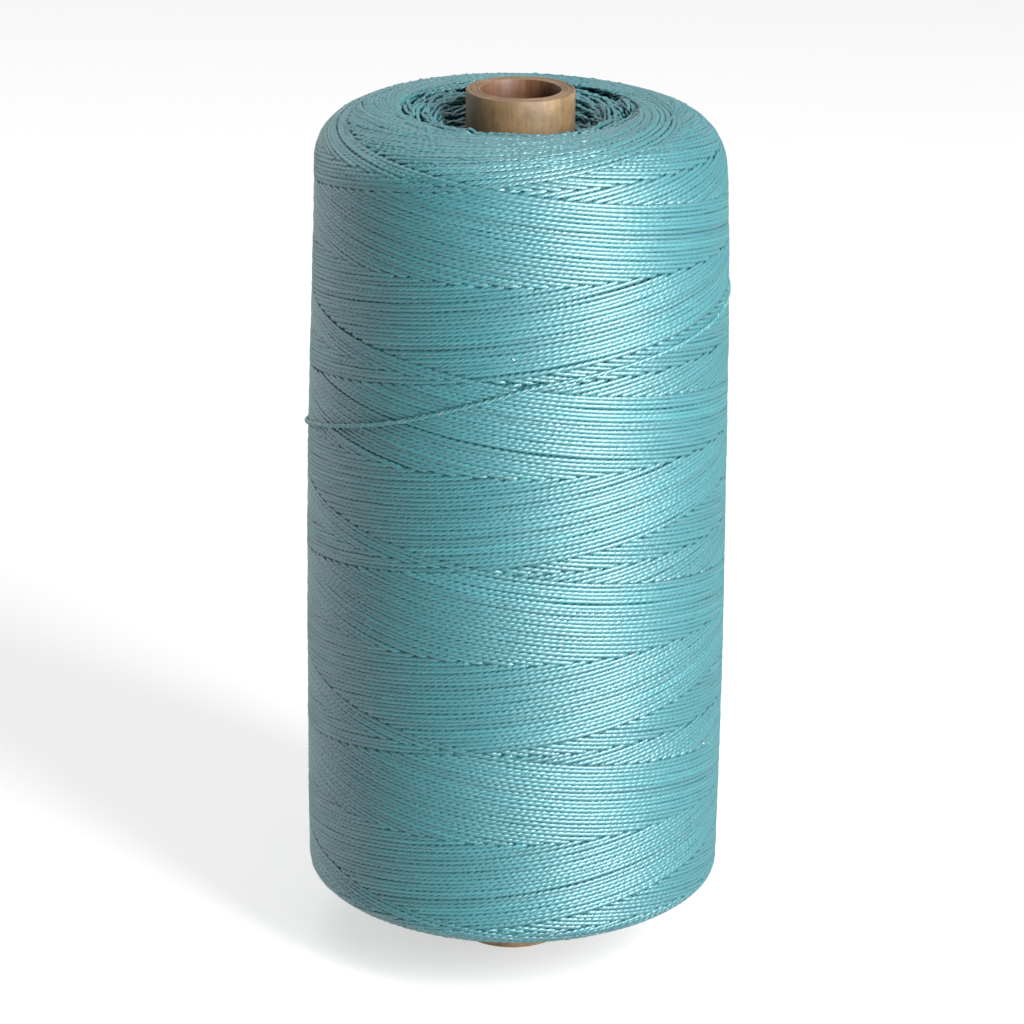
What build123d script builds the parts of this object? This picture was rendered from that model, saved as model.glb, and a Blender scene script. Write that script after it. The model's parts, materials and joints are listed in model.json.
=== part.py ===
from build123d import *
import os
from math import cos, radians, sin, tan

# A tube of plied thread: one continuous thread, cross-wound on a spiral-wound paper tube.
# Origin: centre of the tube's lower end. +Z runs up the tube. Millimetres.

os.makedirs("parts", exist_ok=True)

# Paper tube, made of plies of kraft paper glued one on the other
tube_length = 146.0
bore_radius = 6.5
ply_thickness = 0.45
ply_names = ["tube_liner", "tube_ply_2", "tube_ply_3", "tube_ply_4", "tube_outer_ply"]
tube_edge_round = 0.15
tube_radius = bore_radius + len(ply_names) * ply_thickness

# Thread body: its straight side is a barrel, set in a little from the belly at each end
thread_diameter = 0.68
belly_radius = 35.0
top_side_inset = 1.7
bottom_side_inset = 0.7
tube_stand_out_top = 2.5
tube_stand_out_bottom = 8.5
top_shoulder_height = 9.6
bottom_shoulder_height = 5.1
top_shoulder_fullness = 0.66
bottom_shoulder_fullness = 0.40
top_crest_radius = 19.7
bottom_crest_radius = 22.0
dish_rim_radius = 14.6
dish_rim_drop = 0.7
dish_depth = 6.5
layer_count = 8

# Radii and heights that follow from the sizes above
top_side_radius = belly_radius - top_side_inset
bottom_side_radius = belly_radius - bottom_side_inset
top_crest_height = tube_length - tube_stand_out_top
bottom_crest_height = tube_stand_out_bottom
top_side_height = top_crest_height - top_shoulder_height
bottom_side_height = bottom_crest_height + bottom_shoulder_height
belly_height = (top_side_height + bottom_side_height) / 2

# Running end: the last wrap, lying over the others. Each knot is an angle round the
# package in degrees, 0 at the front and positive to the right, and the share of the
# straight side's height that the thread has reached there.
running_end_knots = [
    (-150, 0.58),
    (-110, 0.625),
    (-80, 0.66),
    (-55, 0.69),
    (-33, 0.72),
    (-16, 0.745),
    (3, 0.775),
    (22, 0.79),
    (80, 0.83),
    (140, 0.873),
    (200, 0.915),
]
running_end_step = 14.0
running_end_clearance = 0.05


def save(part, name):
    part.label = name
    export_step(part, f"parts/{name}.step")
    print(f"{name}: {part.volume:.1f} mm3")


def make_ply(name, inner_radius):
    # One paper ply: a sleeve, with its edge rounded where it is an outer face of the tube
    outer_radius = inner_radius + ply_thickness
    with BuildPart() as ply:
        with BuildSketch():
            Circle(outer_radius)
            Circle(inner_radius, mode=Mode.SUBTRACT)
        extrude(amount=tube_length)
        if name == ply_names[0]:
            rims = ply.edges().filter_by(GeomType.CIRCLE).group_by(SortBy.RADIUS)[0]
            fillet(rims, tube_edge_round)
        if name == ply_names[-1]:
            rims = ply.edges().filter_by(GeomType.CIRCLE).group_by(SortBy.RADIUS)[-1]
            fillet(rims, tube_edge_round)
    save(ply.part, name)


def barrel_radius(height):
    # Radius of the straight side at a height: a shallow barrel through its three radii
    half = (top_side_height - bottom_side_height) / 2
    t = (height - belly_height) / half
    rise = (top_side_radius - bottom_side_radius) / 2
    sag = belly_radius - (top_side_radius + bottom_side_radius) / 2
    return belly_radius + rise * t - sag * t * t


def shoulder(crest_radius, crest_height, side_radius, side_height, fullness):
    # Rounded shoulder from the flat crest of an end face to the top of the side
    reach = side_radius - crest_radius
    drop = side_height - crest_height
    Bezier(
        (crest_radius, crest_height),
        (crest_radius + fullness * reach, crest_height),
        (side_radius, side_height - fullness * drop),
        (side_radius, side_height),
    )


def yarn_profile():
    # Half section of the whole thread body: dished ends, round shoulders, barrel side
    top_dish = (tube_radius, top_crest_height - dish_depth)
    top_rim = (dish_rim_radius, top_crest_height - dish_rim_drop)
    top_crest = (top_crest_radius, top_crest_height)
    bottom_dish = (tube_radius, bottom_crest_height + dish_depth)
    bottom_rim = (dish_rim_radius, bottom_crest_height + dish_rim_drop)
    bottom_crest = (bottom_crest_radius, bottom_crest_height)
    side_top = (top_side_radius, top_side_height)
    side_bottom = (bottom_side_radius, bottom_side_height)
    Line(bottom_dish, top_dish)
    Line(top_dish, top_rim)
    Spline(top_rim, top_crest, tangents=[(1, 0.5), (1, 0)])
    shoulder(*top_crest, *side_top, top_shoulder_fullness)
    belly = (barrel_radius(belly_height), belly_height)
    ThreePointArc(side_top, belly, side_bottom)
    shoulder(*bottom_crest, *side_bottom, bottom_shoulder_fullness)
    Spline(bottom_crest, bottom_rim, tangents=[(-1, 0), (-1, 0.5)])
    Line(bottom_rim, bottom_dish)


def make_yarn_layer(number):
    # One stage of the winding: the passes between two radii, as long as the end faces
    # let it be. The last layer is cut by no outer radius, so it keeps the barrel side.
    build = belly_radius - tube_radius
    inner_radius = tube_radius + build * (number - 1) / layer_count
    outer_radius = tube_radius + build * number / layer_count
    with BuildPart() as layer:
        with BuildSketch(Plane.XZ):
            with BuildLine():
                yarn_profile()
            make_face()
            with Locations(((inner_radius + outer_radius) / 2, tube_length / 2)):
                Rectangle(outer_radius - inner_radius, tube_length, mode=Mode.INTERSECT)
        revolve(axis=Axis.Z)
    save(layer.part, f"yarn_layer_{number}")


def running_end_height(angle):
    # Height of the last wrap at an angle, straight between one knot and the next
    side = top_side_height - bottom_side_height
    for (angle_a, share_a), (angle_b, share_b) in zip(running_end_knots, running_end_knots[1:]):
        if angle <= angle_b:
            part_way = (angle - angle_a) / (angle_b - angle_a)
            return bottom_side_height + side * (share_a + (share_b - share_a) * part_way)
    return bottom_side_height + side * running_end_knots[-1][1]


def make_running_end():
    # The loose last wrap: short runs that touch the package, joined by tangent arcs
    first_angle = running_end_knots[0][0]
    last_angle = running_end_knots[-1][0]
    runs = round((last_angle - first_angle) / running_end_step)
    turn = radians((last_angle - first_angle) / runs)
    points = []
    for i in range(runs + 1):
        angle = first_angle + i * (last_angle - first_angle) / runs
        height = running_end_height(angle)
        touch = barrel_radius(height) + thread_diameter / 2 + running_end_clearance
        reach = touch / cos(turn / 2)
        points.append(Vector(reach * sin(radians(angle)), -reach * cos(radians(angle)), height))
    arcs = []
    for a, b, c in zip(points, points[1:], points[2:]):
        shorter = min((b - a).length, (c - b).length)
        bend = radians((b - a).get_angle(c - b))
        arcs.append(0.45 * shorter / tan(bend / 2))
    print("running end: tightest arc", round(min(arcs), 1))
    with BuildPart() as end:
        with BuildLine() as route:
            FilletPolyline(*points, radius=arcs)
        with BuildSketch(Plane(origin=route.line @ 0, z_dir=route.line % 0)):
            Circle(thread_diameter / 2)
        sweep()
    print("running end: length", round(route.wire().length, 1))
    save(end.part, "running_end")


for i, ply_name in enumerate(ply_names):
    make_ply(ply_name, bore_radius + i * ply_thickness)
for layer_number in range(1, layer_count + 1):
    make_yarn_layer(layer_number)
make_running_end()
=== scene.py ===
import bpy
import json
import math
import numpy as np
from mathutils import Matrix, Vector


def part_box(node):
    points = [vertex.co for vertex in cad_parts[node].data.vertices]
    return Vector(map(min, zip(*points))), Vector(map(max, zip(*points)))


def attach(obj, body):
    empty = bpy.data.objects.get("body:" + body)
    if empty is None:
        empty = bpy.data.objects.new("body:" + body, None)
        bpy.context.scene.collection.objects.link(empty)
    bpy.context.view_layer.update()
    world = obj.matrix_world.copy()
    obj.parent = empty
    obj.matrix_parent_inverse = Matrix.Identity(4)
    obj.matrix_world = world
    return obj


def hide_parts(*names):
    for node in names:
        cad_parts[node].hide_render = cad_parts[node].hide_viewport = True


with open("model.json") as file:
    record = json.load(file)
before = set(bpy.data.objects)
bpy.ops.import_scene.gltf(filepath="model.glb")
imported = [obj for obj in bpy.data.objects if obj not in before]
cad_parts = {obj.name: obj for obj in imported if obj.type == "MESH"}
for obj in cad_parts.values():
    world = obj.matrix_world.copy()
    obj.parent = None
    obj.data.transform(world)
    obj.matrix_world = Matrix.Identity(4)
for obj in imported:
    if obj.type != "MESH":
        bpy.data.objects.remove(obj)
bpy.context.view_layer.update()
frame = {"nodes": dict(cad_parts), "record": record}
bpy.ops.object.select_all(action="DESELECT")
mm = 0.001
tau = 2 * math.pi
print("frame loaded:", len(frame["nodes"]), "nodes")

# sizes read from the frame, in millimetres
outerPly = [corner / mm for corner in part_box("tube_outer_ply")]
linerPly = [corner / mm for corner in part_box("tube_liner")]
tubeLength = outerPly[1].z
tubeRadius = outerPly[1].x
boreRadius = frame["record"]["mounts"][0]["dims"]["r_mm"]
plyThickness = linerPly[1].x - boreRadius
layerNames = sorted(name for name in frame["nodes"] if name.startswith("yarn_layer_"))
layerBoxes = [[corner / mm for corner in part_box(name)] for name in layerNames]
# the thread sits this far inside its envelope
inset = {"belly": 0.6, "top": 0.45, "bottom": 0.5}
bellyRadius = layerBoxes[-1][1].x - inset["belly"]
topCrestHeight = max(box[1].z for box in layerBoxes) - inset["top"]
bottomCrestHeight = min(box[0].z for box in layerBoxes) + inset["bottom"]

# outline of the thread body, in millimetres
outline = {
    "topSideInset": 1.3,
    "bottomSideInset": 0.1,
    "topShoulderHeight": 9.6,
    "bottomShoulderHeight": 5.1,
    "topFullness": 0.67,
    "bottomFullness": 0.40,
    "topCrestRadius": 19.7,
    "bottomCrestRadius": 22.0,
    "dishRimRadius": 14.6,
    "dishRimDrop": 0.7,
    "dishDepth": 6.5,
    "unevenness": 0.06,  # how far the wound surface swells and sinks
    "lean": [(112, 32, 0.28), (142, 7, -0.35)],  # height, spread and sideways shift of the body
    "sideRows": 80,
    "rows": 900,  # evenly spaced points of the whole outline
    "smoothing": 19,  # rows over which its corners are rounded off
}

# the plied thread
thread = {
    "diameter": 0.84,
    "wide": 1.30,  # pressed flat against its neighbours: this much wider
    "tall": 0.52,  # and this much lower
    "plies": 3,
    "lay": 3.75,  # mm of thread for one full turn of the plies
    "groove": 0.65,  # radius in the valley between plies, as a share of the crown's
    "stepsPerLay": 8.4,
}
threadStep = thread["lay"] / thread["stepsPerLay"]

# how the thread is laid
winding = {
    "pitch": 30.93,  # mm of travel along the package for one turn round it
    "strands": 45,  # wraps side by side in one pitch
    "turnsPerStroke": 5,
    "crossingHeight": 76.3,  # height of a front crossing of the newest wraps
    "crossingAngle": -6,  # degrees round from the front
    "turnRound": 0.22,  # radians over which the thread turns back at each end
    "endScatter": 0.16,  # mm by which one turn-back misses the next
    "scatterReach": 0.4,  # turns from the end over which it does
    "layerDrop": 0.50,  # mm from the upper wraps down to the ones they cross
    "hidden": 0.08,  # a stretch this far or less towards the top is left out
    "ringsPerPiece": 16200,  # rings of thread in one mesh, so that no mesh grows too big
    # slow waves along a wrap: size and length in mm
    "wander": ((0.045, 97.0), (0.035, 41.0), (0.018, 13.0)),
    "lift": ((0.03, 61.0), (0.02, 9.0)),
    "thickness": ((0.03, 23.0), (0.02, 5.0)),  # size here is a share of the thread's
    "twist": ((0.5, 47.0), (0.3, 17.0)),
    "tone": 0.5,
    "toneSpread": 0.06,
    "toneWave": ((0.05, 170.0),),
    # partings between wraps: rising or falling, degrees round, height, reach in turns, width
    "partings": [
        (False, -53, 111.2, 0.24, 0.34),
        (False, -18, 97.6, 0.30, 0.26),
        (False, -40, 92.9, 0.18, 0.26),
        (False, 25, 87.5, 0.14, 0.20),
        (True, 56, 112.8, 0.20, 0.24),
        (True, 52, 123.4, 0.12, 0.22),
        (True, 20, 71.0, 0.16, 0.18),
    ],
    "partingFade": 3,  # wraps over which a parting's push dies away
    "strayPartings": 40,
    "strayMargins": (8, 12),  # mm that they keep from the foot and from the top
    "strayReach": (0.05, 0.25),
    "strayWidth": (0.06, 0.20),
}


sideTopHeight = topCrestHeight - outline["topShoulderHeight"]
sideBottomHeight = bottomCrestHeight + outline["bottomShoulderHeight"]


def smoothStep(x):
    x = np.clip(x, 0, 1)
    return x * x * (3 - 2 * x)


def bezierPoints(crest, side, fullness, count=40):
    # rounded shoulder from the crest of an end to the straight side
    t = np.linspace(0, 1, count)[:, None]
    a = np.array(crest, float)
    d = np.array(side, float)
    b = a + np.array([fullness * (d[0] - a[0]), 0])
    c = d - np.array([0, fullness * (d[1] - a[1])])
    return a * (1 - t) ** 3 + 3 * b * t * (1 - t) ** 2 + 3 * c * t ** 2 * (1 - t) + d * t ** 3


def rimPoints(rim, crest, count=12):
    # soft rise from the rim of the dish to the crest
    t = np.linspace(0, 1, count)[:, None]
    a, b = np.array(rim, float), np.array(crest, float)
    bend = np.array([[0, (b[1] - a[1])]])
    return a + (b - a) * t + bend * (smoothStep(t) - t) * 0.3 + bend * t * (1 - t) * 0.6


def buildOutline():
    o = outline
    sideTop = (bellyRadius - o["topSideInset"], sideTopHeight)
    sideBottom = (bellyRadius - o["bottomSideInset"], sideBottomHeight)
    topCrest = (o["topCrestRadius"], topCrestHeight)
    bottomCrest = (o["bottomCrestRadius"], bottomCrestHeight)
    topRim = (o["dishRimRadius"], topCrestHeight - o["dishRimDrop"])
    bottomRim = (o["dishRimRadius"], bottomCrestHeight + o["dishRimDrop"])
    z = np.linspace(sideBottom[1], sideTop[1], o["sideRows"])
    t = (z - (sideTop[1] + sideBottom[1]) / 2) / ((sideTop[1] - sideBottom[1]) / 2)
    rise = (sideTop[0] - sideBottom[0]) / 2
    sag = bellyRadius - (sideTop[0] + sideBottom[0]) / 2
    side = np.stack([bellyRadius + rise * t - sag * t * t, z], 1)
    parts = [
        np.array([(tubeRadius, bottomCrestHeight + o["dishDepth"])]),
        rimPoints(bottomRim, bottomCrest),
        bezierPoints(bottomCrest, sideBottom, o["bottomFullness"])[1:],
        side[1:],
        bezierPoints(topCrest, sideTop, o["topFullness"])[::-1][1:],
        rimPoints(topRim, topCrest)[::-1][1:],
        np.array([(tubeRadius, topCrestHeight - o["dishDepth"])]),
    ]
    rough = np.concatenate(parts)
    length = np.concatenate([[0], np.cumsum(np.hypot(*np.diff(rough, axis=0).T))])
    even = np.linspace(0, length[-1], o["rows"])
    r = np.interp(even, length, rough[:, 0])
    z = np.interp(even, length, rough[:, 1])
    window = np.hanning(o["smoothing"])
    window /= window.sum()
    pad = o["smoothing"] // 2
    for values in (r, z):
        before = 2 * values[0] - values[pad:0:-1]
        after = 2 * values[-1] - values[-2:-pad - 2:-1]
        values[:] = np.convolve(np.concatenate([before, values, after]), window, "valid")
    return even, r, z


outS, outR, outZ = buildOutline()
outNr = np.gradient(outZ, outS)
outNz = -np.gradient(outR, outS)
bodyLength = outS[-1]


def bodyPoints(angle, s, height):
    # points on the thread body: angle round it, distance s up its outline, height off it
    r = np.interp(s, outS, outR)
    z = np.interp(s, outS, outZ)
    nr = np.interp(s, outS, outNr)
    nz = np.interp(s, outS, outNz)
    size = np.hypot(nr, nz)
    nr, nz = nr / size, nz / size
    radial = np.stack([np.sin(angle), -np.cos(angle), np.zeros_like(angle)], 1)
    up = np.array([[0, 0, 1.0]])
    normal = radial * nr[:, None] + up * nz[:, None]
    swell = np.sin(2 * angle + 0.9 + s / 37) + 0.7 * np.sin(3 * angle - 1.7 - s / 23)
    swell = swell + 0.8 * np.sin(s / 11 + angle)
    height = np.asarray(height) + outline["unevenness"] * swell
    point = radial * r[:, None] + up * z[:, None] + normal * height[:, None]
    for middle, spread, shift in outline["lean"]:
        point[:, 0] += shift * np.exp(-(((z - middle) / spread) ** 2))
    return point, normal


def sAtHeight(z):
    # distance up the outline at a height, away from the dished ends, where heights come twice
    first, last = 40, -60
    return float(outS[np.searchsorted(outZ[first:last], z) + first])


def lengthAlong(path):
    return np.concatenate([[0], np.cumsum(np.linalg.norm(np.diff(path, axis=0), axis=1))])


def threadRing():
    # cross-section of the plied thread: each ply's crown and the valley after it
    angles = []
    sizes = []
    sector = 360 / thread["plies"]
    for ply in range(thread["plies"]):
        angles += [ply * sector, (ply + 0.5) * sector]
        sizes += [1.0, thread["groove"]]
    return np.radians(angles), np.array(sizes)


ringAngle, ringSize = threadRing()
ringCount = len(ringAngle)


class MeshStore:
    # gathers tubes of thread until they are written as one mesh

    def __init__(self):
        self.points = []
        self.quads = []
        self.caps = []
        self.uvs = []
        self.tone = []
        self.count = 0

    def addTube(self, path, normal, along, radius, phase, tone, press=1.0):
        # press: how far the thread is flattened against its neighbours, 0 for a loose one
        n = len(path)
        if n < 3:
            return
        tangent = np.gradient(path, axis=0)
        tangent /= np.linalg.norm(tangent, axis=1)[:, None]
        side = np.cross(normal, tangent)
        side /= np.linalg.norm(side, axis=1)[:, None]
        out = np.cross(tangent, side)
        wide = 1 + (thread["wide"] - 1) * press
        tall = 1 - (1 - thread["tall"]) * press
        turn = tau * along / thread["lay"] + phase
        angle = turn[:, None] + ringAngle[None, :]
        size = np.asarray(radius).reshape(-1, 1) * ringSize[None, :]
        ring = path[:, None, :] + size[..., None] * (
            tall * np.cos(angle)[..., None] * out[:, None, :]
            + wide * np.sin(angle)[..., None] * side[:, None, :]
        )
        base = self.count
        i = np.arange(n - 1)[:, None]
        j = np.arange(ringCount)[None, :]
        k = (j + 1) % ringCount
        a = base + i * ringCount + j
        b = base + i * ringCount + k
        c = b + ringCount
        d = a + ringCount
        self.quads.append(np.stack([a, b, c, d], -1).reshape(-1, 4))
        u0 = np.broadcast_to(along[:-1, None], a.shape)
        u1 = np.broadcast_to(along[1:, None], a.shape)
        v0 = np.broadcast_to(j / ringCount, a.shape)
        v1 = np.broadcast_to((j + 1) / ringCount, a.shape)
        corners = ((u0, v0), (u0, v1), (u1, v1), (u1, v0))
        uv = np.stack([np.stack(corner, -1) for corner in corners], 2)
        self.uvs.append(uv.reshape(-1, 2))
        self.caps.append(base + np.arange(ringCount)[::-1])
        self.caps.append(base + (n - 1) * ringCount + np.arange(ringCount))
        self.points.append(ring.reshape(-1, 3))
        self.tone.append(np.repeat(np.broadcast_to(tone, (n,)), ringCount))
        self.count += n * ringCount

    def take(self, other):
        self.quads += [quad + self.count for quad in other.quads]
        self.caps += [cap + self.count for cap in other.caps]
        self.points += other.points
        self.uvs += other.uvs
        self.tone += other.tone
        self.count += other.count

    def write(self, name, material):
        points = np.concatenate(self.points) * mm
        quads = np.concatenate(self.quads)
        caps = np.stack(self.caps)
        loops = np.concatenate([quads.ravel(), caps.ravel()])
        quadStarts = np.arange(len(quads)) * 4
        capStarts = len(quads) * 4 + np.arange(len(caps)) * ringCount
        starts = np.concatenate([quadStarts, capStarts])
        mesh = bpy.data.meshes.new(name)
        mesh.vertices.add(len(points))
        mesh.vertices.foreach_set("co", points.astype(np.float32).ravel())
        mesh.loops.add(len(loops))
        mesh.loops.foreach_set("vertex_index", loops.astype(np.int32))
        mesh.polygons.add(len(starts))
        mesh.polygons.foreach_set("loop_start", starts.astype(np.int32))
        mesh.update(calc_edges=True)
        uvLayer = mesh.uv_layers.new(name="ThreadMap")
        uv = np.concatenate(self.uvs + [np.zeros((caps.size, 2))])
        uvLayer.uv.foreach_set("vector", uv.astype(np.float32).ravel())
        tone = mesh.attributes.new("tone", "FLOAT", "POINT")
        tone.data.foreach_set("value", np.concatenate(self.tone).astype(np.float32))
        ends = np.zeros(len(mesh.edges) * 2, np.int32)
        mesh.edges.foreach_get("vertices", ends)
        # the valleys between plies run along odd places in the ring, and stay crisp
        inRing = ends.reshape(-1, 2) % ringCount
        groove = (inRing[:, 0] == inRing[:, 1]) & (inRing[:, 0] % 2 == 1)
        sharp = mesh.attributes.new("sharp_edge", "BOOLEAN", "EDGE")
        sharp.data.foreach_set("value", groove)
        mesh.polygons.foreach_set("use_smooth", np.ones(len(starts), bool))
        mesh.validate()
        piece = bpy.data.objects.new(name, mesh)
        bpy.context.scene.collection.objects.link(piece)
        mesh.materials.append(material)
        return piece


def mathNode(nodes, links, operation, first, second=None, third=None):
    node = nodes.new("ShaderNodeMath")
    node.operation = operation
    for socket, value in zip(node.inputs, (first, second, third)):
        if value is None:
            continue
        if hasattr(value, "links"):
            links.new(value, socket)
        else:
            socket.default_value = value
    return node.outputs[0]


# fibre streaks along the plies, and painted shade in the valleys between them with lighter crowns, from a
# thread's own map
def fibreGroup():
    group = bpy.data.node_groups.new("fibreGrain", "ShaderNodeTree")
    group.interface.new_socket("Vector", in_out="INPUT", socket_type="NodeSocketVector")
    group.interface.new_socket("Fibres", in_out="OUTPUT", socket_type="NodeSocketFloat")
    group.interface.new_socket("PaintedPlyShade", in_out="OUTPUT", socket_type="NodeSocketFloat")
    nodes, links = group.nodes, group.links
    inside = nodes.new("NodeGroupInput")
    outside = nodes.new("NodeGroupOutput")
    scale = nodes.new("ShaderNodeMapping")
    scale.inputs["Scale"].default_value = (1.1, 16, 1)
    links.new(inside.outputs["Vector"], scale.inputs["Vector"])
    fibre = nodes.new("ShaderNodeTexNoise")
    fibre.inputs["Scale"].default_value = 1.0
    fibre.inputs["Detail"].default_value = 4
    links.new(scale.outputs["Vector"], fibre.inputs["Vector"])
    links.new(fibre.outputs["Fac"], outside.inputs["Fibres"])
    split = nodes.new("ShaderNodeSeparateXYZ")
    links.new(inside.outputs["Vector"], split.inputs["Vector"])
    # a wave that is 1 on each ply's crown and 0 in the valley: the mask for the painted ply shade
    turn = mathNode(nodes, links, "MULTIPLY", split.outputs["Y"], tau * thread["plies"])
    plyShadeWave = mathNode(nodes, links, "MULTIPLY_ADD", mathNode(nodes, links, "COSINE", turn), 0.5, 0.5)
    links.new(plyShadeWave, outside.inputs["PaintedPlyShade"])
    return group


threadColours = {
    "deep": (0.003, 0.070, 0.084, 1),
    "middle": (0.005, 0.104, 0.122, 1),
    "pale": (0.013, 0.160, 0.180, 1),
    "fleck": (0.62, 0.66, 0.55, 1),
}

threadFinish = {
    "fibreShade": 0.45,  # how far the fibre streaks lighten the colour
    "paintedPlyShade": 0.30,  # and how far the crown of a ply does: partly pale fuzz, partly painted highlight, with painted shade in the valleys
    "shadeDrop": 0.34,
    "palePoint": 0.93,  # past this only the flecks are left
    "roughness": (0.43, 0.57),  # where no fibre shows, and on one
    "fibreBump": 0.00003,
}


def threadMaterial():
    mat = bpy.data.materials.new("pliedThread")
    mat.use_nodes = True
    nodes, links = mat.node_tree.nodes, mat.node_tree.links
    shader = nodes["Principled BSDF"]
    uv = nodes.new("ShaderNodeUVMap")
    uv.uv_map = "ThreadMap"
    tone = nodes.new("ShaderNodeAttribute")
    tone.attribute_name = "tone"
    grain = nodes.new("ShaderNodeGroup")
    grain.node_tree = fibreGrain
    links.new(uv.outputs["UV"], grain.inputs["Vector"])
    finish = threadFinish
    fibres = grain.outputs["Fibres"]
    shade = mathNode(nodes, links, "MULTIPLY_ADD", fibres, finish["fibreShade"], tone.outputs["Fac"])
    # ply crowns lighter and the valleys between plies darker: painted highlight and painted shade
    shade = mathNode(nodes, links, "MULTIPLY_ADD", grain.outputs["PaintedPlyShade"], finish["paintedPlyShade"], shade)
    shade = mathNode(nodes, links, "SUBTRACT", shade, finish["shadeDrop"])
    ramp = nodes.new("ShaderNodeValToRGB")
    ramp.color_ramp.elements[0].position = 0.0
    ramp.color_ramp.elements[0].color = threadColours["deep"]
    ramp.color_ramp.elements[1].position = 1.0
    ramp.color_ramp.elements[1].color = threadColours["fleck"]
    middle = ramp.color_ramp.elements.new(0.5)
    middle.color = threadColours["middle"]
    pale = ramp.color_ramp.elements.new(finish["palePoint"])
    pale.color = threadColours["pale"]
    links.new(shade, ramp.inputs["Fac"])
    links.new(ramp.outputs["Color"], shader.inputs["Base Color"])
    smooth, coarse = finish["roughness"]
    rough = mathNode(nodes, links, "MULTIPLY_ADD", fibres, coarse - smooth, smooth)
    links.new(rough, shader.inputs["Roughness"])
    shader.inputs["Specular IOR Level"].default_value = 0.7
    shader.inputs["Metallic"].default_value = 0.2
    shader.inputs["Coat Weight"].default_value = 0.45
    shader.inputs["Coat Roughness"].default_value = 0.50
    shader.inputs["Coat IOR"].default_value = 2.0
    bump = nodes.new("ShaderNodeBump")
    bump.inputs["Strength"].default_value = 0.4
    bump.inputs["Distance"].default_value = finish["fibreBump"]
    links.new(fibres, bump.inputs["Height"])
    links.new(bump.outputs["Normal"], shader.inputs["Normal"])
    return mat


fibreGrain = fibreGroup()
threadLook = threadMaterial()


def strandNoise(rng, x, waves):
    # a smooth wander along a strand: a few waves with phases of their own
    total = np.zeros_like(x)
    for size, wave in waves:
        total += size * np.sin(tau * x / wave * rng.uniform(0.85, 1.15) + rng.uniform(0, tau))
    return total


def partingList(rng):
    # each parting as: rising, wrap number it lies beside, place along the stroke, reach, width
    w = winding
    n = w["strands"]
    found = []
    s0 = sAtHeight(w["crossingHeight"])
    places = list(w["partings"])
    lowest = bottomCrestHeight + w["strayMargins"][0]
    highest = topCrestHeight - w["strayMargins"][1]
    for i in range(w["strayPartings"]):
        height = rng.uniform(lowest, highest)
        angle = rng.uniform(-180, 180)
        reach = rng.uniform(*w["strayReach"])
        places.append((i % 2 == 0, angle, height, reach, rng.uniform(*w["strayWidth"])))
    for rising, angle, height, reach, width in places:
        a = (angle - w["crossingAngle"]) / 360
        b = (sAtHeight(height) - s0) / w["pitch"]
        wrap = (a - b if rising else a + b) * n
        found.append((rising, math.floor(wrap) + 0.5, b, reach, width))
    return found


def partWraps(partings, k, b, rising):
    # sideways shift of wrap k, in millimetres up the package, at its places b
    n = winding["strands"]
    shift = np.zeros_like(b)
    for partingRises, wrap, middle, reach, width in partings:
        away = (k - wrap + n / 2) % n - n / 2
        push = math.copysign(width / 2, away) * math.exp(-(abs(away) - 0.5) / winding["partingFade"])
        side = rising if partingRises else ~rising
        push = -push if partingRises else push
        shift += side * push * np.exp(-(((b - middle) / reach) ** 2))
    return shift


def windCover(store, k, partings, rng):
    # one double stroke of the outermost layer: only the stretches that lie on top are kept
    w = winding
    n = w["strands"]
    s0 = sAtHeight(w["crossingHeight"])
    phi0 = math.radians(w["crossingAngle"])
    half = w["turnsPerStroke"] + 0.5 / n
    bottomB = -w["turnsPerStroke"] / 2 - 0.5 / n
    start = k / n + bottomB
    count = int(2 * half * tau * bellyRadius / threadStep)
    turns = np.linspace(0, 2 * half, count)
    angle = phi0 + tau * (start + turns)
    rising = turns < half
    ideal = np.where(rising, bottomB + turns, bottomB + 2 * half - turns)
    rounding = w["turnRound"] / tau
    fromTop = np.abs(turns - half)
    fromBottom = np.minimum(turns, 2 * half - turns)
    b = ideal - (np.hypot(fromTop, rounding) - fromTop) + (np.hypot(fromBottom, rounding) - fromBottom)
    # of two wraps that cross, the one laid later is on top: depth is how many wraps later
    a = (angle - phi0) / tau
    other = np.where(rising, a + ideal, a - ideal) * n
    other = (other + 0.5) % n - 0.5
    own = np.where(rising, k - 0.5, k + 0.5)
    inside = np.minimum(own - other, other + 0.5)
    outside = -np.minimum(other - own, n - 0.5 - other)
    depth = np.where(other < own, inside, outside)
    depth = np.where(own >= n - 0.5, 1.0, depth)
    top = smoothStep(depth + 0.5)
    along = turns * tau * bellyRadius
    wander = strandNoise(rng, along, w["wander"])
    for scatter, fromEnd in zip(w["endScatter"] * rng.normal(size=2), (fromTop, fromBottom)):
        wander = wander + scatter * np.exp(-((fromEnd / w["scatterReach"]) ** 2))
    wander = wander + partWraps(partings, k, ideal, rising)
    lift = strandNoise(rng, along, w["lift"])
    radius = thread["diameter"] / 2 * (1 + strandNoise(rng, along, w["thickness"]))
    s = s0 + b * w["pitch"] + wander
    height = -thread["tall"] * thread["diameter"] / 2 - w["layerDrop"] * (1 - top) + lift
    path, normal = bodyPoints(angle, s, height)
    show = top > w["hidden"]
    show = show | np.roll(show, 1) | np.roll(show, -1)
    real = lengthAlong(path) + strandNoise(rng, along, w["twist"])
    edges = np.flatnonzero(np.diff(np.concatenate([[0], show.astype(int), [0]])))
    phase = rng.uniform(0, tau)
    tone = w["tone"] + rng.normal() * w["toneSpread"] + strandNoise(rng, along, w["toneWave"])
    for first, last in zip(edges[::2], edges[1::2]):
        part = slice(first, last)
        store.addTube(path[part], normal[part], real[part], radius[part], phase, tone[part])


def threadPiece(store, name, *bodies):
    piece = store.write(name, threadLook)
    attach(piece, "root")
    if bodies:
        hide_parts(*bodies)
    print(name, "triangles:", store.count * 2)


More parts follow.
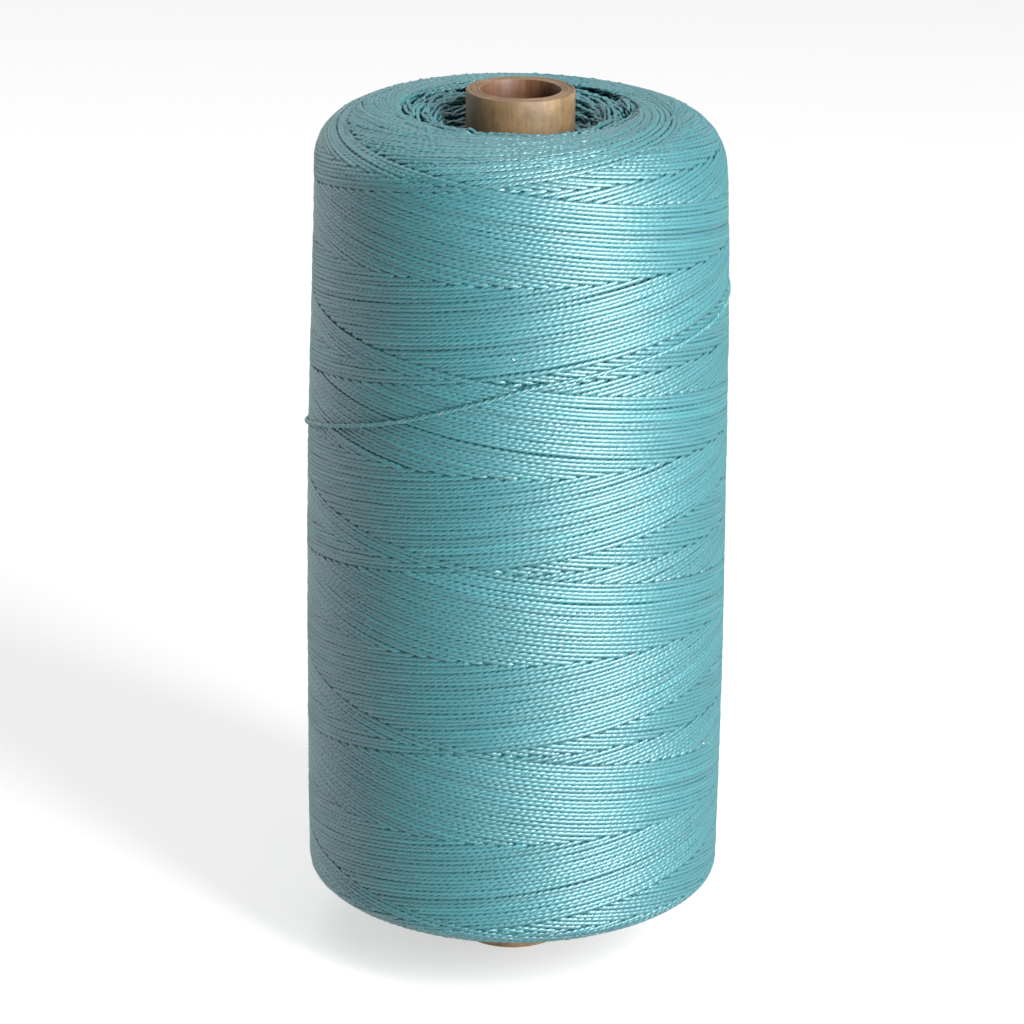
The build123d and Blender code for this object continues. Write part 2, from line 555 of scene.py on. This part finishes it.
rng = np.random.default_rng(7)
partings = partingList(rng)
store = MeshStore()
pieces = 0
for k in range(winding["strands"]):
    nextStore = MeshStore()
    windCover(nextStore, k, partings, rng)
    if (store.count + nextStore.count) / ringCount > winding["ringsPerPiece"]:
        pieces += 1
        threadPiece(store, f"cover_winding_{pieces}", layerNames[-1])
        store = MeshStore()
    store.take(nextStore)
pieces += 1
threadPiece(store, f"cover_winding_{pieces}", layerNames[-1])


# the dished ends: turn-rounds of the inner layers, seen end on
endWinding = {
    "ringPitch": 0.78,  # mm from one ring of turn-rounds to the next
    "arc": (22, 60),  # degrees of a turn that shows on the flat
    "dishArc": (20, 55),  # and in the dish
    "coverage": 1.6,  # layers of turns on the flat, in the dish and on the shoulder
    "dishCoverage": 5.0,
    "shoulderCoverage": 1.7,
    "angleStep": 0.5698,  # steps from one turn to the next that never fall into rows
    "placeStep": 0.7549,
    "angleSpread": 0.2,
    "slope": 0.13,  # travel per mm of thread on the flat of the end
    "dishSlope": 0.24,  # and in the dish, where loose turns cross
    "slopeSpread": 1.4,
    "drift": (0.10, 31.0),  # mm that a turn strays, and the length of the wave
    "dishDrift": 0.2,  # more of that in the dish
    "fineDrift": (0.05, 11.0),
    "stack": 0.60,  # mm between the highest and lowest turns on the flat
    "dishStack": 1.0,
    "stackRange": (-0.3, 1),  # shares of that: up to a little above the others
    "shoulderStackRange": (-0.3, 0.3),
    "ripple": (0.10, 4.4),  # mm that a turn rises and sinks over the ones it crosses
    "slowRipple": (0.05, 17.0),
    "dishRipple": 0.12,
    "dive": (0.6, 0.9),  # from this share of half a turn its end dives, by this many mm
    "dishStart": 1.8,  # mm outside the rim where the dish begins, and how far it blends in
    "dishBlend": 3,
    "turnMargin": 3.0,  # mm outside the cover's turn-backs that still count as the end
    "shoulder": 2,  # mm inside that radius from which turns lie even
    "past": 9,  # mm that the turns go on past it, under the cover
    "bulk": (0.84, 0.96),  # thickness of a turn as a share of the thread's
    "press": 0.05,
    "toneSpread": 0.12,
}


def windEnd(store, inner, outer, atTop, rng):
    e = endWinding
    half = len(outS) // 2
    if atTop:
        low, high = np.interp((-outer, -inner), -outR[half:], outS[half:])
    else:
        low, high = np.interp((inner, outer), outR[:half], outS[:half])
    meanArc = sum(e["arc"]) / 2 / 360
    coverage = e["coverage"] if inner > outline["dishRimRadius"] else e["dishCoverage"]
    if outer > turnRadius:
        coverage = e["shoulderCoverage"]
    count = int((high - low) / e["ringPitch"] / meanArc * coverage)
    for i in range(count):
        middle = low + (high - low) * ((0.5 + i * e["placeStep"]) % 1)
        centre = tau * ((0.5 + i * e["angleStep"]) % 1) + rng.uniform(-e["angleSpread"], e["angleSpread"])
        r = np.interp(middle, outS, outR)
        inDish = float(smoothStep((outline["dishRimRadius"] + e["dishStart"] - r) / e["dishBlend"]))
        arc = rng.uniform(*e["arc"]) * (1 - inDish) + rng.uniform(*e["dishArc"]) * inDish
        length = math.radians(arc) * r
        n = max(8, int(length / threadStep))
        t = np.linspace(-1, 1, n)
        slope = e["slope"] * (1 - inDish) + e["dishSlope"] * inDish
        slope = slope * rng.uniform(-e["slopeSpread"], e["slopeSpread"])
        drift = (e["drift"][0] + e["dishDrift"] * inDish, e["drift"][1])
        s = middle + slope * t * length / 2 + strandNoise(rng, t * length, (drift, e["fineDrift"]))
        s = np.clip(s, thread["diameter"] * 0.4, bodyLength - thread["diameter"] * 0.4)
        stack = (e["stack"] * (1 - inDish) + e["dishStack"] * inDish) * rng.uniform(*e["stackRange"])
        if r > turnRadius - e["shoulder"]:
            stack = e["stack"] * rng.uniform(*e["shoulderStackRange"])
        diveStart, diveDepth = e["dive"]
        dive = diveDepth * smoothStep((np.abs(t) - diveStart) / (1 - diveStart))
        slowRipple = (e["slowRipple"][0] + e["dishRipple"] * inDish, e["slowRipple"][1])
        ripple = strandNoise(rng, t * length, (e["ripple"], slowRipple))
        height = -thread["diameter"] / 2 - stack - dive + ripple
        path, normal = bodyPoints(centre + t * math.radians(arc) / 2, s, height)
        radius = np.full(n, thread["diameter"] / 2) * rng.uniform(*e["bulk"])
        tone = winding["tone"] + rng.uniform(-e["toneSpread"], e["toneSpread"])
        phase = rng.uniform(0, tau)
        store.addTube(path, normal, lengthAlong(path), radius, phase, tone, e["press"])


# radius on the shoulder a little outside where the cover's wraps turn back
topTurn = sAtHeight(winding["crossingHeight"]) + winding["turnsPerStroke"] / 2 * winding["pitch"]
turnRadius = float(np.interp(topTurn, outS, outR)) + endWinding["turnMargin"]
build = (bellyRadius - tubeRadius) / len(layerNames)
for number, layer in enumerate(layerNames[:-1], 1):
    inner = tubeRadius + build * (number - 1)
    outer = min(inner + build, turnRadius + endWinding["past"])
    for atTop, end in ((True, "top"), (False, "bottom")):
        store = MeshStore()
        windEnd(store, inner, outer, atTop, rng)
        threadPiece(store, f"{end}_winding_{number}", layer)


def selectOnly(piece):
    bpy.ops.object.select_all(action="DESELECT")
    piece.select_set(True)
    bpy.context.view_layer.objects.active = piece


# the crossing layer that shows between the outer wraps, drawn darker than the thread as painted shade
# under them
core = {
    "depth": 0.40,  # mm under the crests of the outer wraps
    "dishDepth": 1.8,  # and under the loose turns in the dished ends
    "dishReach": 12,  # mm outside the dish's rim where it starts to sink, and the blend's width
    "dishBlend": 9,
    "around": 96,
    "rows": 110,
    "roughness": 0.75,
    "bump": 0.0003,
}


def coreMaterial():
    mat = bpy.data.materials.new("layerBelow")
    mat.use_nodes = True
    nodes, links = mat.node_tree.nodes, mat.node_tree.links
    shader = nodes["Principled BSDF"]
    place = nodes.new("ShaderNodeTexCoord")
    split = nodes.new("ShaderNodeSeparateXYZ")
    links.new(place.outputs["Object"], split.inputs["Vector"])
    angle = mathNode(nodes, links, "ARCTAN2", split.outputs["Y"], split.outputs["X"])
    wraps = mathNode(nodes, links, "MULTIPLY", angle, winding["strands"] / tau)
    rise = winding["strands"] / (winding["pitch"] * mm)
    row = mathNode(nodes, links, "MULTIPLY_ADD", split.outputs["Z"], rise, wraps)
    wave = mathNode(nodes, links, "SINE", mathNode(nodes, links, "MULTIPLY", row, tau))
    wave = mathNode(nodes, links, "MULTIPLY_ADD", wave, 0.5, 0.5)
    noise = nodes.new("ShaderNodeTexNoise")
    noise.inputs["Scale"].default_value = 900
    noise.inputs["Detail"].default_value = 3
    links.new(place.outputs["Object"], noise.inputs["Vector"])
    # the layer stays between the thread's deep and middle colours and darkens between its rows of wraps:
    # painted shade in the grooves
    shade = mathNode(nodes, links, "MULTIPLY", wave, noise.outputs["Fac"])
    ramp = nodes.new("ShaderNodeValToRGB")
    ramp.color_ramp.elements[0].color = threadColours["deep"]
    ramp.color_ramp.elements[1].color = threadColours["middle"]
    ramp.color_ramp.elements[1].position = 0.5
    links.new(shade, ramp.inputs["Fac"])
    links.new(ramp.outputs["Color"], shader.inputs["Base Color"])
    shader.inputs["Roughness"].default_value = core["roughness"]
    bump = nodes.new("ShaderNodeBump")
    bump.inputs["Strength"].default_value = 0.8
    bump.inputs["Distance"].default_value = core["bump"]
    links.new(wave, bump.inputs["Height"])
    links.new(bump.outputs["Normal"], shader.inputs["Normal"])
    return mat


def makeCore():
    # half outline, spun round the tube
    s = np.linspace(0, bodyLength, core["rows"])
    r = np.interp(s, outS, outR)
    inDish = smoothStep((outline["dishRimRadius"] + core["dishReach"] - r) / core["dishBlend"])
    depth = core["depth"] + (core["dishDepth"] - core["depth"]) * inDish
    profile, _ = bodyPoints(np.zeros(len(s)), s, -depth)
    mesh = bpy.data.meshes.new("wound_core")
    mesh.from_pydata((profile * mm).tolist(), [(i, i + 1) for i in range(len(s) - 1)], [])
    piece = bpy.data.objects.new("wound_core", mesh)
    bpy.context.scene.collection.objects.link(piece)
    selectOnly(piece)
    bpy.ops.object.mode_set(mode="EDIT")
    bpy.ops.mesh.select_all(action="SELECT")
    bpy.ops.mesh.spin(steps=core["around"], angle=tau, center=(0, 0, 0), axis=(0, 0, 1))
    bpy.ops.mesh.select_all(action="SELECT")
    bpy.ops.mesh.remove_doubles(threshold=0.000005)
    bpy.ops.mesh.normals_make_consistent(inside=False)
    bpy.ops.object.mode_set(mode="OBJECT")
    bpy.ops.object.shade_smooth()
    piece.data.materials.append(coreMaterial())
    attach(piece, "root")
    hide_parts(*layerNames)
    print("wound_core faces:", len(piece.data.polygons))


makeCore()


# the last wrap, lying over the others
runningEnd = {
    # degrees round, share of the straight side's height, and how far it stands off the crests
    # of the wraps under it
    "knots": [
        (-150, 0.57, -0.9),
        (-130, 0.594, 0.0),
        (-110, 0.615, 0.22),
        (-80, 0.65, 0.24),
        (-55, 0.682, 0.26),
        (-33, 0.713, 0.26),
        (-16, 0.743, 0.24),
        (3, 0.775, 0.18),
        (22, 0.79, 0.02),
        (80, 0.83, -0.10),
        (140, 0.873, -0.20),
        (200, 0.915, -0.9),
    ],
    "diameter": 0.80,
    "smoothing": 21,  # steps over which the knots are rounded off
    "phase": 0.6,
    # a lighter tone than the other wraps: painted light on the loose wrap, which nothing shades
    "tone": 0.75,
    "press": 0.1,
}


def makeRunningEnd():
    e = runningEnd
    degrees, shares, heights = np.array(e["knots"], float).T
    angle = np.arange(math.radians(degrees[0]), math.radians(degrees[-1]), threadStep / bellyRadius)
    share = np.interp(np.degrees(angle), degrees, shares)
    height = np.interp(np.degrees(angle), degrees, heights)
    window = np.hanning(e["smoothing"]) / np.hanning(e["smoothing"]).sum()
    pad = e["smoothing"] // 2
    share = np.convolve(np.pad(share, pad, mode="edge"), window, "valid")
    height = np.convolve(np.pad(height, pad, mode="edge"), window, "valid")
    z = sideBottomHeight + (sideTopHeight - sideBottomHeight) * share
    middle = slice(60, -60)
    s = np.interp(z, outZ[middle], outS[middle])
    path, normal = bodyPoints(angle, s, height)
    radius = np.full(len(path), e["diameter"] / 2)
    store = MeshStore()
    store.addTube(path, normal, lengthAlong(path), radius, e["phase"], e["tone"], e["press"])
    threadPiece(store, "loose_wrap", "running_end")


makeRunningEnd()


# short fibres that stand off the thread, and a few pale specks caught in it
fuzz = {
    "count": 650,
    "length": (1.2, 3.6),
    "radius": 0.011,
    "lift": (0.10, 0.45),
    "tone": 0.8,
    "flecks": [(-2, 111.4), (64, 40.0), (151, 118.0), (-122, 66.0)],  # degrees round, height
    "fleckTone": 1.9,
}


def makeFuzz(rng):
    store = MeshStore()
    for i in range(fuzz["count"]):
        length = rng.uniform(*fuzz["length"])
        t = np.linspace(0, 1, 5)
        heading = rng.uniform(-0.9, 0.9)
        s0 = rng.uniform(3, bodyLength - 3)
        r = max(float(np.interp(s0, outS, outR)), 5.0)
        angle = rng.uniform(0, tau) + math.cos(heading) * length * t / r
        s = s0 + math.sin(heading) * length * t + 0.3 * rng.normal() * t * t
        height = -0.15 + rng.uniform(*fuzz["lift"]) * 4 * t * (1 - 0.6 * t)
        path, normal = bodyPoints(angle, s, height)
        store.addTube(path, normal, length * t, fuzz["radius"] * (1.1 - 0.6 * t), 0, fuzz["tone"])
    for degrees, z in fuzz["flecks"]:
        t = np.linspace(0, 1, 6)
        angle = math.radians(degrees) + 0.012 * t
        s = sAtHeight(z) - 0.55 * t + 0.25 * t * t
        arch = np.sin(3.1 * t)
        path, normal = bodyPoints(angle, s, 0.02 + 0.12 * arch)
        store.addTube(path, normal, t, 0.05 + 0.05 * arch, 0, fuzz["fleckTone"], 0)
    threadPiece(store, "stray_fibres")


makeFuzz(rng)


# paper tube: plies of kraft paper glued one on the other, each cut a hair short
tube = {
    "around": 128,
    "edgeRound": 0.10,
    "edgeSteps": 3,
    "rows": (3.0, 9.0, 40.0, 75.0, 110.0, 134.0, 140.0, 143.5),  # heights of the rings up a wall
    "rimWave": 0.05,  # mm that a cut edge wanders up and down
    "wallWave": 0.03,
    "plies": [  # name, the body it stands for, and how far its ends are cut short
        ("bore_ply", "tube_liner", 0.0),
        ("second_ply", "tube_ply_2", 0.05),
        ("middle_ply", "tube_ply_3", 0.02),
        ("fourth_ply", "tube_ply_4", 0.06),
        ("outer_ply", "tube_outer_ply", 0.01),
    ],
    "seamLead": 62.0,  # mm up the tube for one turn of the outer strip's butt seam
    "seamStart": 2.4,  # radians round from +X at the foot
    "seamWidth": 0.22,
    "seamShade": 0.35,
}

paperColours = {
    "outer": ((0.059, 0.034, 0.014, 1), (0.175, 0.111, 0.050, 1)),
    "edge": ((0.070, 0.039, 0.018, 1), (0.162, 0.097, 0.049, 1)),
    "bore": ((0.050, 0.018, 0.008, 1), (0.125, 0.056, 0.025, 1)),
}


def paperGroup():
    group = bpy.data.node_groups.new("paperGrain", "ShaderNodeTree")
    group.interface.new_socket("Vector", in_out="INPUT", socket_type="NodeSocketVector")
    group.interface.new_socket("Streak", in_out="INPUT", socket_type="NodeSocketFloat")
    group.interface.new_socket("Mottle", in_out="OUTPUT", socket_type="NodeSocketFloat")
    group.interface.new_socket("Height", in_out="OUTPUT", socket_type="NodeSocketFloat")
    nodes, links = group.nodes, group.links
    inside = nodes.new("NodeGroupInput")
    outside = nodes.new("NodeGroupOutput")
    patches = nodes.new("ShaderNodeTexNoise")
    patches.inputs["Scale"].default_value = 260
    patches.inputs["Detail"].default_value = 5
    patches.inputs["Roughness"].default_value = 0.65
    links.new(inside.outputs["Vector"], patches.inputs["Vector"])
    stretch = nodes.new("ShaderNodeMapping")
    stretch.inputs["Scale"].default_value = (1, 1, 0.16)
    links.new(inside.outputs["Vector"], stretch.inputs["Vector"])
    streaks = nodes.new("ShaderNodeTexNoise")
    streaks.inputs["Scale"].default_value = 1500
    streaks.inputs["Detail"].default_value = 3
    links.new(stretch.outputs["Vector"], streaks.inputs["Vector"])
    streak = mathNode(nodes, links, "SUBTRACT", streaks.outputs["Fac"], 0.5)
    streak = mathNode(nodes, links, "MULTIPLY", streak, inside.outputs["Streak"])
    mottle = mathNode(nodes, links, "ADD", patches.outputs["Fac"], streak)
    links.new(mottle, outside.inputs["Mottle"])
    links.new(mottle, outside.inputs["Height"])
    return group


paperGrain = paperGroup()


def paperMaterial(name, colours, streak, roughness, seam=False):
    mat = bpy.data.materials.new(name)
    mat.use_nodes = True
    nodes, links = mat.node_tree.nodes, mat.node_tree.links
    shader = nodes["Principled BSDF"]
    place = nodes.new("ShaderNodeTexCoord")
    grain = nodes.new("ShaderNodeGroup")
    grain.node_tree = paperGrain
    grain.inputs["Streak"].default_value = streak
    links.new(place.outputs["Object"], grain.inputs["Vector"])
    shade = grain.outputs["Mottle"]
    height = grain.outputs["Height"]
    if seam:
        split = nodes.new("ShaderNodeSeparateXYZ")
        links.new(place.outputs["Object"], split.inputs["Vector"])
        angle = mathNode(nodes, links, "ARCTAN2", split.outputs["Y"], split.outputs["X"])
        lead = 1 / (tube["seamLead"] * mm)
        turns = mathNode(nodes, links, "MULTIPLY_ADD", angle, 1 / tau, -tube["seamStart"] / tau)
        turns = mathNode(nodes, links, "MULTIPLY_ADD", split.outputs["Z"], lead, turns)
        gap = mathNode(nodes, links, "PINGPONG", turns, 0.5)
        narrow = tube["seamWidth"] / tube["seamLead"] / 2
        away = mathNode(nodes, links, "DIVIDE", gap, narrow)
        groove = mathNode(nodes, links, "MAXIMUM", mathNode(nodes, links, "SUBTRACT", 1.0, away), 0.0)
        shadow = mathNode(nodes, links, "MULTIPLY", groove, tube["seamShade"])
        shade = mathNode(nodes, links, "SUBTRACT", shade, shadow)
        height = mathNode(nodes, links, "SUBTRACT", height, groove)
    ramp = nodes.new("ShaderNodeValToRGB")
    ramp.color_ramp.elements[0].position = 0.22
    ramp.color_ramp.elements[0].color = colours[0]
    ramp.color_ramp.elements[1].position = 0.78
    ramp.color_ramp.elements[1].color = colours[1]
    links.new(shade, ramp.inputs["Fac"])
    links.new(ramp.outputs["Color"], shader.inputs["Base Color"])
    shader.inputs["Roughness"].default_value = roughness
    bump = nodes.new("ShaderNodeBump")
    bump.inputs["Strength"].default_value = 0.5
    bump.inputs["Distance"].default_value = 0.00012
    links.new(height, bump.inputs["Height"])
    links.new(bump.outputs["Normal"], shader.inputs["Normal"])
    return mat


def makeSleeve(name, body, inner, outer, cutShort, looks, rng):
    low = cutShort
    high = tubeLength - cutShort
    bpy.ops.mesh.primitive_cylinder_add(
        vertices=tube["around"],
        radius=outer * mm,
        depth=(high - low) * mm,
        end_fill_type="NOTHING",
        location=(0, 0, (high + low) / 2 * mm),
    )
    sleeve = bpy.context.object
    sleeve.name = name
    sleeve.data.name = name
    bpy.ops.object.transform_apply(location=True, rotation=True, scale=True)
    bpy.ops.object.mode_set(mode="EDIT")
    for row in tube["rows"]:
        bpy.ops.mesh.select_all(action="SELECT")
        bpy.ops.mesh.bisect(plane_co=(0, 0, row * mm), plane_no=(0, 0, 1))
    bpy.ops.object.mode_set(mode="OBJECT")
    wall = sleeve.modifiers.new("wall", "SOLIDIFY")
    wall.thickness = (outer - inner) * mm
    wall.offset = -1
    bpy.ops.object.modifier_apply(modifier="wall")
    bpy.ops.object.mode_set(mode="EDIT")
    bpy.ops.mesh.select_all(action="DESELECT")
    bpy.ops.object.mode_set(mode="OBJECT")
    for edge in sleeve.data.edges:
        a, b = (sleeve.data.vertices[i].co for i in edge.vertices)
        atEnd = min(a.z, b.z) > (high - 0.01) * mm or max(a.z, b.z) < (low + 0.01) * mm
        edge.select = atEnd and abs(a.xy.length - b.xy.length) < 0.05 * mm
    bpy.ops.object.mode_set(mode="EDIT")
    bpy.ops.mesh.select_mode(type="EDGE")
    bpy.ops.mesh.bevel(offset=tube["edgeRound"] * mm, segments=tube["edgeSteps"], affect="EDGES")
    bpy.ops.object.mode_set(mode="OBJECT")
    # the cut edges wander a little, and the wall isn't quite round
    phases = rng.uniform(0, tau, 6)
    for vertex in sleeve.data.vertices:
        angle = math.atan2(vertex.co.y, vertex.co.x)
        wave = math.sin(2 * angle + phases[0]) + 0.6 * math.sin(5 * angle + phases[1])
        wave = wave + 0.4 * math.sin(11 * angle + phases[2])
        if vertex.co.z > (high - 1) * mm:
            vertex.co.z -= tube["rimWave"] * (1 + 0.5 * wave) * mm
        if vertex.co.z < (low + 1) * mm:
            vertex.co.z += tube["rimWave"] * 0.5 * (1 + 0.5 * wave) * mm
        dent = 0.5 + 0.5 * math.sin(2 * angle + 1.1 + vertex.co.z * 30)
        bulge = 1 - tube["wallWave"] / tubeRadius * dent
        vertex.co.x *= bulge
        vertex.co.y *= bulge
    # outer wall, cut edges and bore each have their own paper
    for look in looks:
        sleeve.data.materials.append(look)
    for face in sleeve.data.polygons:
        if abs(face.normal.z) > 0.35:
            face.material_index = 1
        elif face.normal.xy.dot(face.center.xy) < 0:
            face.material_index = 2
        else:
            face.material_index = 0
    selectOnly(sleeve)
    bpy.ops.object.shade_smooth_by_angle(angle=math.radians(50))
    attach(sleeve, "root")
    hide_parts(body)


outerPaper = paperMaterial("kraftPaper", paperColours["outer"], 0.45, 0.62, seam=True)
edgePaper = paperMaterial("cutPaperEdge", paperColours["edge"], 0.3, 0.8)
borePaper = paperMaterial("borePaper", paperColours["bore"], 0.7, 0.55, seam=True)
papers = (outerPaper, edgePaper, borePaper)
for i, (name, body, cutShort) in enumerate(tube["plies"]):
    inner = boreRadius + i * plyThickness
    makeSleeve(name, body, inner, inner + plyThickness, cutShort, papers, rng)
print("tube plies:", len(tube["plies"]))


# the camera looks down a little at the package's middle
view = {
    "distance": 0.7301,
    "elevation": 19.17,  # degrees
    "aimHeight": 0.0737,
    "roll": 0.6,  # degrees
    "shift": (-0.000675, 0.00082, 0),  # metres across and up the view
    "lens": 155.9,
}

floorFinish = {"colour": (0.32, 0.32, 0.32, 1), "roughness": 0.9, "glow": 0.50}


def makeFloor():
    bpy.ops.mesh.primitive_plane_add(size=6, location=(0, 0, 0))
    floor = bpy.context.object
    floor.name = "floor"
    floorLook = bpy.data.materials.new("paleFloor")
    floorLook.use_nodes = True
    shader = floorLook.node_tree.nodes["Principled BSDF"]
    shader.inputs["Base Color"].default_value = floorFinish["colour"]
    shader.inputs["Roughness"].default_value = floorFinish["roughness"]
    shader.inputs["Emission Color"].default_value = (1, 1, 1, 1)
    shader.inputs["Emission Strength"].default_value = floorFinish["glow"]
    floor.data.materials.append(floorLook)


def placeCamera():
    camera = bpy.data.objects.new("camera", bpy.data.cameras.new("camera"))
    bpy.context.scene.collection.objects.link(camera)
    bpy.context.scene.camera = camera
    elevation = math.radians(view["elevation"])
    aim = Vector((0, 0, view["aimHeight"]))
    away = Vector((0, -math.cos(elevation), math.sin(elevation)))
    facing = (-away).to_track_quat("-Z", "Y")
    turn = facing.to_matrix().to_4x4() @ Matrix.Rotation(math.radians(view["roll"]), 4, "Z")
    camera.matrix_world = Matrix.Translation(aim + away * view["distance"]) @ turn
    camera.location += turn.to_3x3() @ Vector(view["shift"])
    camera.data.lens = view["lens"]
    camera.data.sensor_width = 36
    camera.data.clip_start = 0.05


makeFloor()
placeCamera()


studio = {
    # place, what it points at, width and height, and power of each soft light
    "lights": {
        "keySoftbox": ((0.66, -0.75, 0.38), (0, 0, 0.07), (0.36, 1.0), 51),
        "rimSoftbox": ((-0.9, 0.45, 0.5), (0, 0, 0.08), (0.6, 0.9), 3.6),
        "topSoftbox": ((-0.1, 0.1, 1.1), (0, 0, 0.1), (0.9, 0.9), 7),
    },
    "front": 0.01,  # brightness of the room in front of the object
    "back": 1.12,  # and of the white sweep behind it
    "blend": (-0.1, 0.6),  # where one passes into the other, front to back
}


def softLight(name, position, target, size, power):
    light = bpy.data.lights.new(name, "AREA")
    light.shape = "RECTANGLE"
    light.size, light.size_y = size
    light.energy = power
    lamp = bpy.data.objects.new(name, light)
    bpy.context.scene.collection.objects.link(lamp)
    lamp.location = position
    lamp.rotation_euler = (Vector(target) - Vector(position)).to_track_quat("-Z", "Y").to_euler()


for lightName, placing in studio["lights"].items():
    softLight(lightName, *placing)


def buildWorld():
    world = bpy.data.worlds.new("studio")
    bpy.context.scene.world = world
    world.use_nodes = True
    nodes, links = world.node_tree.nodes, world.node_tree.links
    place = nodes.new("ShaderNodeTexCoord")
    split = nodes.new("ShaderNodeSeparateXYZ")
    links.new(place.outputs["Generated"], split.inputs["Vector"])
    span = nodes.new("ShaderNodeMapRange")
    span.inputs["From Min"].default_value = studio["blend"][0]
    span.inputs["From Max"].default_value = studio["blend"][1]
    span.inputs["To Min"].default_value = studio["front"]
    span.inputs["To Max"].default_value = studio["back"]
    links.new(split.outputs["Y"], span.inputs["Value"])
    background = nodes["Background"]
    background.inputs["Color"].default_value = (1, 1, 1, 1)
    links.new(span.outputs["Result"], background.inputs["Strength"])


buildWorld()
bpy.context.scene.view_settings.view_transform = "Standard"
print("floor, camera and lights: done")
